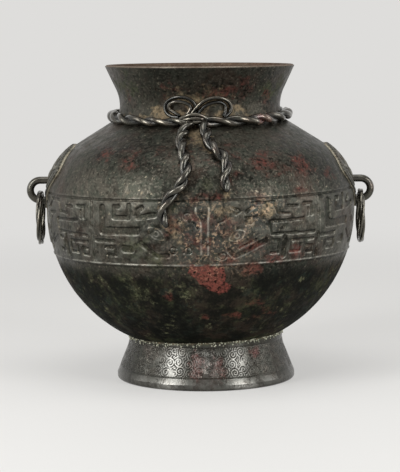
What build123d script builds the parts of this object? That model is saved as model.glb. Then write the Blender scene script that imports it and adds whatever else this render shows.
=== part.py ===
from build123d import *
from math import asin, atan, atan2, cos, degrees, pi, radians, sin, sqrt, tan
import os

# Bronze hu vessel: globular belly, flaring neck bound with a cast rope, flared foot,
# animal-mask plaques at both sides with loose rings. Millimetres, +Z up, front towards -Y.
# The origin is on the table, on the axis of the belly and the neck.

# Neck
neck_height = 41.2  # root of the neck to the top of the lip
throat_radius = 61.0  # narrowest place of the neck
throat_rise = 10.2  # its height above the neck's root
root_flare = 3.0  # how far the neck spreads again below the throat
flare_curve = 30.0  # radius of the neck's outward curve
flare_angle = 25.5  # slope of the flare from upright, degrees
lip_flare = 10.6  # how far the lip stands out past the throat
lip_wall = 3.2  # thickness of the lip
lip_edge = 1.8  # upright edge of the lip
lip_round = 0.6  # rounding of the lip's edges
neck_wall = 3.6  # thickness of the neck
spigot_wall = 2.5  # thickness of the rim that drops into the belly
spigot_length = 6.0  # length of that rim

# Belly
belly_radius = 117.0  # outside, at its widest
belly_depth = 104.5  # underside to the widest place
upright = 7.4  # short upright stretch at the widest place
shoulder_curve = 51.0  # radius of the shoulder's bend
shoulder_slope = 32.0  # slope of the shoulder from level, degrees
belly_wall = 3.5  # thickness of the casting

# Relief band: channels sunk between flat ribbons, the same in each panel
band_drop = 6.6  # middle of the band below the belly's widest place
band_half = 23.7  # from its middle to its upper and lower line
band_lean = 0.7  # the band runs up a little to the right, degrees
panel_count = 4
panel_turn = 2.3  # middle of the front panel from the front, degrees
channel_depth = 0.9
line_width = 1.4  # width of the upper and the lower line
line_height = 0.7  # height of the lower line, a raised fillet; the upper one is sunk as deep as the channels

# Middle lines of the channels: distance from the panel's middle, height from the band's middle; half width
channels = [
    ([(-81, 17), (-81, 0.6), (-52, 1)], 2.9),
    ([(-66.5, 18.4), (-70.4, 18.4), (-70.4, 10.6), (-58, 10.6), (-58, 20)], 1.6),
    ([(-47.5, 18), (-50.6, 16), (-50.6, 11.2), (-38, 12.8)], 1.8),
    ([(-88, -6.8), (-71, -6.8)], 1.3),
    ([(-79, -11.6), (-71, -11.6), (-71, -17)], 1.4),
    ([(-62.6, -12.2), (-57.6, -12.2)], 2.8),
    ([(-49, -7.6), (-37, -16.6), (-29, -16.6)], 1.7),
    ([(76, 6.8), (46.4, 6.2), (48.4, -2.6), (87, -3.8)], 1.1),
    ([(59.4, -6), (59.4, -19)], 2.3),
    ([(33, 20), (49.4, 20), (53, 12), (62.6, 11.2)], 1.1),
    ([(28, 9.4), (42, 10.4)], 1.2),
    ([(49.6, -7.4), (54.4, -7.4), (54.4, -16.6), (48.6, -16.6)], 1.2),
    ([(86.6, -8.6), (65.4, -8.6), (65.4, -16.8), (74, -16.8), (74, -12.6)], 1.2),
    ([(16, -13.6), (20.4, -17.6), (26, -15.6), (43, -7.6)], 1.9),
]

# Floor of the belly
underside = 25.5  # height of the flat underside
underside_radius = 33.0  # where the lower curve runs into the underside
core_opening = 38.0  # radius of the opening that the floor plate closes
plate_ledge = 4.0  # width of the ledge that the plate bears on
plate_thickness = 3.0

# Foot
foot_offset = 3.4  # the foot sits a little to the right of the belly's axis
boss_wall = 10.5  # thickness of the boss that centres the foot, round the plate
foot_collar = 6.2  # thickness of the foot where it meets the belly
foot_waist_rise = 7.5  # height above the underside where the foot begins to flare
foot_curve = 25.0  # radius of the foot's outward curve
foot_flare = 19.5  # slope at the end of that curve from upright, degrees
foot_spread = 9.4  # how far the lower edge stands out past the waist
foot_edge = 4.6  # height of the plain lower edge
foot_round = 2.0  # rounding of the lower edge
foot_wall = 4.5  # thickness of the foot at the table
collar_drop = 1.5  # how far the foot's inner collar reaches below the boss

# Rope round the neck
cord_radius = 3.8  # rope round the neck
cord_gap = 0.15  # gap between that rope and the metal behind it
loop_radius = 2.5  # rope of the bows
tail_radius = 3.3  # rope of the hanging ends
rope_sink = 0.4  # how far bows and ends lie in the metal behind them
knot_across = -1.5  # place of the crossing, across the front
knot_length = 8.5  # half length of the crossing
knot_radius = 5.0  # half thickness of the crossing at its middle
knot_end = 3.4  # half thickness at its ends

bend_share = 0.45  # share of a straight run that the bend at its end may take

# Routes of the rope over the skin: distance across the front, distance along the skin from the neck's root,
# up the neck or down the shoulder
left_loop_route = [(-8, 3.4), (-5.4, 9), (-6, 15), (-10.4, 19.2), (-17.4, 20.2), (-23, 17), (-24.6, 11),
                   (-21.6, 6), (-14, 3.6)]
right_loop_route = [(-4, 4), (-0.4, 10.4), (3.8, 16.4), (10.2, 19.4), (17, 18.6), (20.8, 14), (20.8, 8),
                    (17, 3)]
left_tail_route = [(-5.5, -1.5), (-12, -16.6), (-13.6, -30.6), (-11, -42.7), (-9.6, -53.3), (-10.6, -62),
                   (-15.4, -69.6), (-22.2, -75.8), (-26.6, -83), (-26.4, -90), (-22.6, -95.6)]
right_tail_route = [(1, -1.5), (4, -14.7), (5.4, -27.6), (10, -37.9), (16.4, -44.8), (18.8, -52.6),
                    (17, -60.2), (16.8, -66.8), (19, -72)]

# Mask plaques, heights measured from the middle of the loop
mask_thickness = 2.3
mask_brow = 31.2  # height of the brow's middle
mask_horn = 34.2  # height of the horns
mask_horn_out = 14.0  # horns' distance from the middle
mask_ear = 18.2  # height of the widest place
mask_ear_out = 35.0  # half width there
mask_cheek = 4.2  # height of the cheeks
mask_cheek_out = 24.0  # cheeks' distance from the middle
mask_snout = -3.8  # height where the snout begins
mask_snout_out = 9.0  # half width of the snout
mask_chin = -13.8  # lower end of the snout

# Staples and rings
staple_rise = 7.4  # middle of the loop above the belly's upright stretch
staple_wire = 2.8  # half thickness of the loop
peen_lip = 1.3  # how far the legs' hammered heads spread past them, inside the belly
peen_thickness = 1.6
ring_bend = 18.8  # radius of the ring's centre line
ring_wire = 2.3  # half thickness of the ring
ring_play = 0.3  # gap between the ring and the loop that carries it
ring_room = 2.5  # what the loop's bend leaves free beside the ring
ring_clear = 1.0  # gap between the hanging ring and the plaque behind it
fit = 0.1  # clearance of spigot, plate, boss and legs

spigot_radius = throat_radius - neck_wall + spigot_wall
mouth_radius = spigot_radius + fit
root_radius = throat_radius + root_flare
lip_radius = throat_radius + lip_flare
belly_low = underside + belly_depth
belly_top = belly_low + upright
belly_bulge = belly_radius - underside_radius
lower_curve = (belly_bulge**2 + belly_depth**2) / (2 * belly_bulge)
band_level = belly_low - band_drop
band_foot = band_level - 1.5 * band_half  # below the lower line, also where the band leans
cavity_floor = underside + belly_wall
ledge_height = underside + plate_thickness
seat_radius = core_opening + plate_ledge
boss_radius = seat_radius + boss_wall
foot_waist = boss_radius + fit + foot_collar
foot_waist_height = underside + foot_waist_rise
foot_radius = foot_waist + foot_spread
staple_bend = staple_wire + ring_wire + ring_room
staple_height = belly_top + staple_rise
staple_reach = belly_radius + mask_thickness + ring_clear + ring_wire
pivot_height = staple_height - staple_bend + staple_wire + ring_play + ring_wire
peen_radius = staple_wire + peen_lip
sides = {"left": -1, "right": 1}

os.makedirs("parts", exist_ok=True)


def shoulder_point(grow):
    # End of the shoulder's bend, where the straight slope begins, on a skin grown outwards
    reach = shoulder_curve + grow
    centre = belly_radius - shoulder_curve
    slope = radians(shoulder_slope)
    return centre + reach * sin(slope), belly_top + reach * cos(slope)


def slope_height(radius, grow=0.0):
    # Height of the straight slope of the shoulder at a radius
    start, rise = shoulder_point(grow)
    return rise + (start - radius) * tan(radians(shoulder_slope))


def belly_radius_at(level, grow=0.0):
    # Radius of the belly at a height, below the straight slope
    if level < belly_low:
        return belly_radius - lower_curve + sqrt((lower_curve + grow) ** 2 - (belly_low - level) ** 2)
    if level < belly_top:
        return belly_radius + grow
    if level < shoulder_point(grow)[1]:
        return belly_radius - shoulder_curve + sqrt((shoulder_curve + grow) ** 2 - (level - belly_top) ** 2)
    return shoulder_point(grow)[0] - (level - shoulder_point(grow)[1]) / tan(radians(shoulder_slope))


root_level = slope_height(root_radius)
root_curve = (root_flare**2 + throat_rise**2) / (2 * root_flare)
throat_height = root_level + throat_rise
height = root_level + neck_height
flare_end = (
    throat_radius + flare_curve * (1 - cos(radians(flare_angle))),
    throat_height + flare_curve * sin(radians(flare_angle)),
)


def neck_radius_at(level):
    # Radius of the neck at a height
    if level < throat_height:
        return throat_radius + root_curve - sqrt(root_curve**2 - (throat_height - level) ** 2)
    if level < flare_end[1]:
        return throat_radius + flare_curve - sqrt(flare_curve**2 - (level - throat_height) ** 2)
    steep = (lip_radius - flare_end[0]) / (height - lip_edge - flare_end[1])
    return flare_end[0] + (level - flare_end[1]) * steep


def belly_section(grow, bottom):
    # Half section of the belly as a full body, on a skin grown outwards, flat at the bottom
    low = belly_radius_at(bottom, grow)
    bend_end = shoulder_point(grow)
    top = (mouth_radius, slope_height(mouth_radius, grow))
    Line((0, bottom), (low, bottom))
    TangentArc((belly_radius + grow, belly_low), (low, bottom), tangent=(0, -1))
    Line((belly_radius + grow, belly_low), (belly_radius + grow, belly_top))
    TangentArc((belly_radius + grow, belly_top), bend_end, tangent=(0, 1))
    Line(bend_end, top)
    Line(top, (0, top[1]))
    Line((0, top[1]), (0, bottom))


# Neck: flaring wall, lip and the spigot that drops into the belly's mouth
slope = radians(flare_angle)
inner_curve = flare_curve + neck_wall
inner_throat = throat_radius - neck_wall
inner_end = (inner_throat + inner_curve * (1 - cos(slope)), throat_height + inner_curve * sin(slope))
spigot_foot = slope_height(mouth_radius) - spigot_length
with BuildPart() as neck:
    with BuildSketch(Plane.XZ):
        with BuildLine():
            TangentArc((throat_radius, throat_height), (root_radius, root_level), tangent=(0, -1))
            TangentArc((throat_radius, throat_height), flare_end, tangent=(0, 1))
            Polyline(
                flare_end,
                (lip_radius, height - lip_edge),
                (lip_radius, height),
                (lip_radius - lip_wall, height),
                inner_end,
            )
            TangentArc((inner_throat, throat_height), inner_end, tangent=(0, 1))
            Polyline(
                (inner_throat, throat_height),
                (inner_throat, spigot_foot),
                (spigot_radius, spigot_foot),
                (spigot_radius, slope_height(spigot_radius)),
                (root_radius, root_level),
            )
        make_face()
    revolve(axis=Axis.Z)
    fillet(neck.faces().sort_by(Axis.Z)[-1].edges(), lip_round)
neck.part.label = "neck"
export_step(neck.part, "parts/neck.step")

# Shell of the vessel: hollow, with the mouth, the boss for the foot, the plate's seat and the legs' holes
leg_heights = [staple_height - staple_bend, staple_height + staple_bend]
with BuildPart() as shell:
    with BuildSketch(Plane.XZ):
        with BuildLine():
            belly_section(0.0, underside)
        make_face()
    revolve(axis=Axis.Z)
    with BuildSketch(Plane.XY.offset(underside)):
        with Locations((foot_offset, 0)):
            Circle(boss_radius)
    extrude(amount=belly_low - underside)
    with BuildSketch(Plane.XZ):
        with BuildLine():
            belly_section(-belly_wall, cavity_floor)
        make_face()
    revolve(axis=Axis.Z, mode=Mode.SUBTRACT)
    with BuildSketch(Plane.XY.offset(belly_top)):
        Circle(mouth_radius)
    extrude(amount=height, mode=Mode.SUBTRACT)
    with BuildSketch(Plane.XY.offset(ledge_height)):
        Circle(core_opening)
    extrude(amount=belly_low - ledge_height, mode=Mode.SUBTRACT)
    with BuildSketch(Plane.XY.offset(underside)):
        Circle(seat_radius)
    extrude(amount=plate_thickness, mode=Mode.SUBTRACT)
    with BuildSketch(Plane.YZ):
        with Locations(*[(0, level) for level in leg_heights]):
            Circle(staple_wire + fit)
    extrude(amount=belly_radius + belly_wall, both=True, mode=Mode.SUBTRACT)


# Channels of one panel of the relief band, drawn level round the middle of the band
with BuildPart() as panel:
    for route, half in channels:
        middle = sum(across for across, rise in route) / len(route)
        turn = middle / belly_radius
        out = Vector(sin(turn), -cos(turn), 0)
        face = Plane(origin=out * belly_radius, x_dir=(cos(turn), sin(turn), 0), z_dir=out)
        with BuildSketch(face):
            for start, end in zip(route, route[1:]):
                run = Vector(*end) - Vector(*start)
                place = (Vector(*start) + Vector(*end)) / 2 - Vector(middle, 0)
                with Locations(place):
                    Rectangle(run.length + 2 * half, 2 * half, rotation=degrees(atan2(run.Y, run.X)))
        extrude(amount=band_half / 2, both=True)

# Channels and step of the whole band, as the metal they leave out
band = Plane(Location((0, 0, band_level), (0, -band_lean, 0)))
with BuildPart() as relief:
    with Locations(band.location):
        with PolarLocations(0, panel_count, start_angle=panel_turn):
            add(panel.part)
    with BuildSketch(band.offset(band_half - line_width)):
        Circle(belly_radius + belly_wall)
    extrude(amount=line_width)
    with BuildSketch(Plane.XZ):
        with BuildLine():
            belly_section(-channel_depth, band_foot)
        make_face()
    revolve(axis=Axis.Z, mode=Mode.SUBTRACT)

# Lower line of the band
with BuildPart() as fillet_line:
    with BuildSketch(band.offset(-band_half)):
        Circle(belly_radius + belly_wall)
    extrude(amount=line_width / 2, both=True)
    with BuildSketch(Plane.XZ):
        with BuildLine():
            belly_section(line_height, band_foot)
        make_face()
    revolve(axis=Axis.Z, mode=Mode.INTERSECT)
    with BuildSketch(Plane.XZ):
        with BuildLine():
            belly_section(-belly_wall / 2, band_foot)
        make_face()
    revolve(axis=Axis.Z, mode=Mode.SUBTRACT)

# Belly and shoulder: the two castings of the shell, joined along the upper line of the relief band
seam = band.offset(band_half)
with BuildPart() as belly:
    add(shell.part)
    split(bisect_by=seam, keep=Keep.BOTTOM)
    add(relief.part, mode=Mode.SUBTRACT)
    add(fillet_line.part)
belly.part.label = "belly"
export_step(belly.part, "parts/belly.step")

with BuildPart() as shoulder:
    add(shell.part)
    split(bisect_by=seam, keep=Keep.TOP)
shoulder.part.label = "shoulder"
export_step(shoulder.part, "parts/shoulder.step")

# Floor plate: disc let into the belly's underside
with BuildPart() as floor_plate:
    with BuildSketch(Plane.XY.offset(underside)):
        Circle(seat_radius - fit)
    extrude(amount=plate_thickness)
floor_plate.part.label = "floor_plate"
export_step(floor_plate.part, "parts/floor_plate.step")

# Foot: flared ring round the boss, its upper edge shaped to the belly
foot_plane = Plane.XZ.move(Location((foot_offset, 0, 0)))
foot_axis = Axis((foot_offset, 0, 0), (0, 0, 1))
foot_bend = radians(foot_flare)
foot_bend_end = (
    foot_waist + foot_curve * (1 - cos(foot_bend)),
    foot_waist_height - foot_curve * sin(foot_bend),
)
collar_height = underside - collar_drop
foot_top = belly_low
inner_slope = (foot_radius - foot_bend_end[0]) / (foot_bend_end[1] - foot_edge)
foot_inside = foot_radius - foot_wall
with BuildPart() as foot:
    with BuildSketch(foot_plane):
        with BuildLine():
            Line((foot_waist, foot_top), (foot_waist, foot_waist_height))
            TangentArc((foot_waist, foot_waist_height), foot_bend_end, tangent=(0, -1))
            Polyline(
                foot_bend_end,
                (foot_radius, foot_edge),
                (foot_radius, 0),
                (foot_inside, 0),
                (foot_inside - collar_height * inner_slope, collar_height),
                (boss_radius + fit, collar_height),
                (boss_radius + fit, foot_top),
                (foot_waist, foot_top),
            )
        make_face()
    revolve(axis=foot_axis)
    rim = foot.faces().sort_by(Axis.Z)[0].edges().sort_by(SortBy.RADIUS)[-1]
    fillet(rim, foot_round)
    with BuildSketch(Plane.XZ):
        with BuildLine():
            belly_section(0.0, underside)
        make_face()
    revolve(axis=Axis.Z, mode=Mode.SUBTRACT)
foot.part.label = "foot"
export_step(foot.part, "parts/foot.step")


def skin_place(along):
    # Radius, height and rise of the outward direction at a distance along the skin from the neck's root
    slope = radians(shoulder_slope)
    bend_start = (shoulder_point(0.0)[0] - root_radius) / cos(slope)
    bend_length = shoulder_curve * (pi / 2 - slope)
    down = -along
    if along > 0:
        step = along / 2
        level = root_level + along
        spread = (neck_radius_at(level + step) - neck_radius_at(level - step)) / (2 * step)
        return neck_radius_at(level), level, -atan(spread)
    if down < bend_start:
        return root_radius + down * cos(slope), root_level - down * sin(slope), pi / 2 - slope
    if down < bend_start + bend_length:
        lean = pi / 2 - slope - (down - bend_start) / shoulder_curve
        return belly_radius - shoulder_curve * (1 - cos(lean)), belly_top + shoulder_curve * sin(lean), lean
    down -= bend_start + bend_length
    lean = -max(down - upright, 0) / lower_curve
    level = belly_top - min(down, upright) + lower_curve * sin(lean)
    return belly_radius - lower_curve * (1 - cos(lean)), level, lean


def on_surface(across, along, lift):
    # Point above the front of the neck or the shoulder, lifted square to the surface
    radius, level, lean = skin_place(along)
    turn = across / radius
    reach = radius + lift * cos(lean)
    return Vector(reach * sin(turn), -reach * cos(turn), level + lift * sin(lean))


def bend_radii(points):
    # Largest bends that the runs beside each corner leave room for
    runs = [end - start for start, end in zip(points, points[1:])]
    radii = []
    for before, after in zip(runs, runs[1:]):
        turn = radians(before.get_angle(after))
        radii.append(bend_share * min(before.length, after.length) / tan(turn / 2))
    return radii


def rope(route, radius):
    # Round rope along a route on the surface, its end rounded off
    points = [on_surface(across, along, radius - rope_sink) for across, along in route]
    with BuildPart() as strand:
        with BuildLine() as path:
            FilletPolyline(*points, radius=bend_radii(points))
        with BuildSketch(Plane(path.line @ 0, z_dir=path.line % 0)):
            Circle(radius)
        sweep(path=path.line)
        with Locations(path.line @ 1):
            Sphere(radius)
    return strand.part


def corner_place(radius):
    # Centre of a round that lies in the corner of the neck and the shoulder
    keep = radius + cord_gap
    level = root_level + keep
    for refine in range(12):
        out = throat_radius + root_curve - sqrt((root_curve - keep) ** 2 - (throat_height - level) ** 2)
        level = slope_height(out) + keep / cos(radians(shoulder_slope))
    return out, level


# Crossing of the rope at the front
knot_out, knot_level = corner_place(knot_radius)
knot_turn = knot_across / knot_out
knot_plane = Plane(
    origin=(knot_out * sin(knot_turn), -knot_out * cos(knot_turn), knot_level),
    x_dir=(cos(knot_turn), sin(knot_turn), 0),
    z_dir=(0, 0, 1),
)
with BuildPart() as bow_knot:
    with BuildSketch(knot_plane):
        with BuildLine():
            ThreePointArc((-knot_length, knot_end), (0, knot_radius), (knot_length, knot_end))
            Polyline((knot_length, knot_end), (knot_length, 0), (-knot_length, 0), (-knot_length, knot_end))
        make_face()
    revolve(axis=Axis(knot_plane.origin, knot_plane.x_dir))
bow_knot.part.label = "bow_knot"
export_step(bow_knot.part, "parts/bow_knot.step")

# Rope round the neck: runs from one end of the crossing round to the other
cord_out, cord_level = corner_place(cord_radius)
half_gap = asin((knot_length + cord_gap) / (cord_out - cord_radius))
start = knot_turn + half_gap
start_plane = Plane(origin=(0, 0, 0), x_dir=(sin(start), -cos(start), 0), z_dir=(-cos(start), -sin(start), 0))
with BuildPart() as neck_cord:
    with BuildSketch(start_plane):
        with Locations((cord_out, cord_level)):
            Circle(cord_radius)
    revolve(axis=Axis.Z, revolution_arc=360 - 2 * degrees(half_gap))
neck_cord.part.label = "neck_cord"
export_step(neck_cord.part, "parts/neck_cord.step")

# Bows and hanging ends of the rope
ropes = {
    "left_bow_loop": (left_loop_route, loop_radius),
    "right_bow_loop": (right_loop_route, loop_radius),
    "left_cord_tail": (left_tail_route, tail_radius),
    "right_cord_tail": (right_tail_route, tail_radius),
}
behind = [neck, shell, neck_cord, bow_knot]
for name, (route, radius) in ropes.items():
    strand = rope(route, radius)
    with BuildPart() as piece:
        add(strand)
        for other in behind:
            add(other.part, mode=Mode.SUBTRACT)
    piece.part.label = name
    export_step(piece.part, f"parts/{name}.step")
    behind.append(piece)

# Mask plaques: shield-shaped plates that follow the belly, with the legs' holes
for name, side in sides.items():
    with BuildPart() as mask:
        with BuildSketch(Plane.XZ):
            with BuildLine():
                belly_section(mask_thickness, underside)
            make_face()
        revolve(axis=Axis.Z)
        with BuildSketch(Plane.YZ):
            with BuildLine() as half:
                Spline(
                    (0, staple_height + mask_brow),
                    (mask_horn_out, staple_height + mask_horn),
                    (mask_ear_out, staple_height + mask_ear),
                    (mask_cheek_out, staple_height + mask_cheek),
                    (mask_snout_out, staple_height + mask_snout),
                    (0, staple_height + mask_chin),
                    tangents=((1, 0), (-1, 0)),
                )
                mirror(about=Plane.YZ)
            make_face()
        extrude(amount=side * (belly_radius + height), mode=Mode.INTERSECT)
        with BuildSketch(Plane.XZ):
            with BuildLine():
                belly_section(0.0, underside)
            make_face()
        revolve(axis=Axis.Z, mode=Mode.SUBTRACT)
        with BuildSketch(Plane.YZ):
            with Locations(*[(0, level) for level in leg_heights]):
                Circle(staple_wire + fit)
        extrude(amount=side * (belly_radius + height), mode=Mode.SUBTRACT)
    mask.part.label = f"{name}_mask"
    export_step(mask.part, f"parts/{name}_mask.step")

# Staples: round loops with two legs through plaque and wall, peened over inside
lower_leg, upper_leg = leg_heights
for name, side in sides.items():
    with BuildPart() as staple:
        with BuildLine(Plane.XZ) as wire:
            Line((side * (belly_radius_at(lower_leg, -belly_wall) - peen_thickness), lower_leg),
                 (side * staple_reach, lower_leg))
            ThreePointArc((side * staple_reach, lower_leg),
                          (side * (staple_reach + staple_bend), staple_height),
                          (side * staple_reach, upper_leg))
            Line((side * staple_reach, upper_leg),
                 (side * (belly_radius_at(upper_leg, -belly_wall) - peen_thickness), upper_leg))
        with BuildSketch(Plane(wire.line @ 0, z_dir=wire.line % 0)):
            Circle(staple_wire)
        sweep(path=wire.line)
        for level in leg_heights:
            inside = belly_radius_at(level, -belly_wall)
            with BuildSketch(Plane.YZ.offset(side * (inside - peen_thickness))):
                with Locations((0, level)):
                    Circle(peen_radius)
            extrude(amount=side * (peen_thickness + belly_wall / 2))
        add(shell.part, mode=Mode.SUBTRACT)
    staple.part.label = f"{name}_staple"
    export_step(staple.part, f"parts/{name}_staple.step")

# Rings: hang in the loops, each plane square to the vessel's side
for name, side in sides.items():
    hang = Plane(origin=(side * staple_reach, 0, pivot_height - ring_bend), x_dir=(0, 1, 0), z_dir=(1, 0, 0))
    with BuildPart(hang) as ring:
        Torus(ring_bend, ring_wire)
    ring.part.label = f"{name}_ring"
    export_step(ring.part, f"parts/{name}_ring.step")
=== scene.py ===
import bpy
import math
import numpy as np
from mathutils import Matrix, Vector


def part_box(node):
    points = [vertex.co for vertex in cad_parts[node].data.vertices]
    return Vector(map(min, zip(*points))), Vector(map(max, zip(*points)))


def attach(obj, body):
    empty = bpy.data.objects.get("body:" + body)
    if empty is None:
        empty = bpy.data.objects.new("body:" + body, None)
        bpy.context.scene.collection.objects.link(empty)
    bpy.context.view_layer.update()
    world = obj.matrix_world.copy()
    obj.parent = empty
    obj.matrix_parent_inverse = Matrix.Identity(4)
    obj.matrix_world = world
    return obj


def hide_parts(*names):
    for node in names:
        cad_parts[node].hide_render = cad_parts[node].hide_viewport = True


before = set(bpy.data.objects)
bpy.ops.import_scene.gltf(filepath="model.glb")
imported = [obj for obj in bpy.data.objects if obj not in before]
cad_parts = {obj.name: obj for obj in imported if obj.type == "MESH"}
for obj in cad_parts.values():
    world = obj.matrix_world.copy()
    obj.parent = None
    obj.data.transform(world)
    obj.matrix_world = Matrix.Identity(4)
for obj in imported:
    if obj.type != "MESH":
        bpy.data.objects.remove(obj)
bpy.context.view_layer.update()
mm = 0.001
chance = np.random.default_rng(11)
print("frame loaded:", len(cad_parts), "nodes")


# Small tools

def tone(red, green, blue):  # screen colour, 0-255, as the shader's linear colour
    def linear(part):
        return part / 12.92 if part < 0.04045 else ((part + 0.055) / 1.055) ** 2.4

    return (*(linear(part / 255) for part in (red, green, blue)), 1.0)


def rise(value, low, high):  # 0 below low, 1 above high, smooth between
    share = np.clip((value - low) / (high - low), 0, 1)
    return share * share * (3 - 2 * share)


def barDistance(across, up, route, half):  # distance to square bars along a line, below zero inside
    nearest = np.full(across.shape, 1e6)
    for (x0, y0), (x1, y1) in zip(route, route[1:]):
        length = math.hypot(x1 - x0, y1 - y0)
        dx, dy = (x1 - x0) / length, (y1 - y0) / length
        right, high = across - (x0 + x1) / 2, up - (y0 + y1) / 2
        along = np.abs(right * dx + high * dy) - length / 2 - half
        aside = np.abs(high * dx - right * dy) - half
        outside = np.hypot(np.maximum(along, 0), np.maximum(aside, 0))
        nearest = np.minimum(nearest, outside + np.minimum(np.maximum(along, aside), 0))
    return nearest


def patchDistance(across, up, corners):  # distance to a patch's edge, below zero inside
    nearest = np.full(across.shape, 1e6)
    inside = np.zeros(across.shape, bool)
    for (x0, y0), (x1, y1) in zip(corners, corners[1:] + corners[:1]):
        dx, dy = x1 - x0, y1 - y0
        share = np.clip(((across - x0) * dx + (up - y0) * dy) / (dx * dx + dy * dy), 0, 1)
        nearest = np.minimum(nearest, np.hypot(across - x0 - share * dx, up - y0 - share * dy))
        if dy:
            inside ^= ((y0 > up) != (y1 > up)) & (across < x0 + (up - y0) * dx / dy)
    return np.where(inside, -nearest, nearest)


def pathDistance(points, path):  # distance of every point to a line in space
    nearest = np.full(points.shape[:-1], 1e6)
    for step in path:
        nearest = np.minimum(nearest, np.linalg.norm(points - step, axis=-1))
    return nearest


def grainField(points, size, seed):  # smooth random field, about -1 to 1, grain size in millimetres
    source = np.random.default_rng(seed)
    total = np.zeros(points.shape[:-1])
    for octave in range(4):
        for wave in range(5):
            turn = source.normal(size=3)
            turn *= 2 ** octave * 2.2 / (size * np.linalg.norm(turn))
            total += np.sin(points @ turn + source.uniform(0, 6.28)) / (1.7 ** octave)
    return total / 4.5


def makePiece(name, grids, body, nodes, finish, notes=None):
    # grids: list of (points in millimetres [rows, columns, 3], rows closed, columns closed)
    corners, quads, count = [], [], 0
    for points, rowsClosed, columnsClosed in grids:
        rows, columns = points.shape[:2]
        index = np.arange(rows * columns).reshape(rows, columns) + count
        low = index if rowsClosed else index[:-1]
        high = np.roll(index, -1, 0) if rowsClosed else index[1:]
        nextLow, nextHigh = np.roll(low, -1, 1), np.roll(high, -1, 1)
        block = np.stack([low, nextLow, nextHigh, high], -1)
        block = block if columnsClosed else block[:, :-1]
        corners.append(points.reshape(-1, 3))
        quads.append(block.reshape(-1, 4))
        count += rows * columns
    mesh = bpy.data.meshes.new(name)
    mesh.from_pydata((np.concatenate(corners) * mm).tolist(), [], np.concatenate(quads).tolist())
    mesh.polygons.foreach_set("use_smooth", np.ones(len(mesh.polygons), bool))
    for label, values in (notes or {}).items():
        blocks = values if isinstance(values, list) else [values]
        values = np.concatenate([np.ravel(part) for part in blocks])
        mesh.attributes.new(label, "FLOAT", "POINT").data.foreach_set("value", values.astype(np.float32))
    mesh.materials.append(finish)
    mesh.update()
    piece = bpy.data.objects.new(name, mesh)
    bpy.context.scene.collection.objects.link(piece)
    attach(piece, body)
    if nodes:
        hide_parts(*nodes)


# Patinated bronze

bronzeTones = {
    "dark": (33, 33, 29),
    "brown": (64, 61, 54),
    "olive": (53, 56, 49),
    "slate": (54, 58, 57),
    "black": (10, 11, 8),
    "russet": (70, 49, 41),
    "darkRed": (80, 43, 37),
    "red": (102, 54, 47),
    "rose": (108, 70, 62),
    "teal": (50, 68, 60),
    "earth": (74, 74, 58),
    "umber": (50, 39, 31),
    "dab": (90, 91, 68),
    "point": (140, 132, 114),
    "green": (62, 66, 46),
    "dust": (130, 114, 90),
    "fleck": (102, 98, 88),
    "crust": (172, 146, 120),
    "copper": (116, 90, 74),
}
coatRough = 0.22  # of the thin polish over foot, rope and rings
pitDepth = 1.0 * mm


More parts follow.
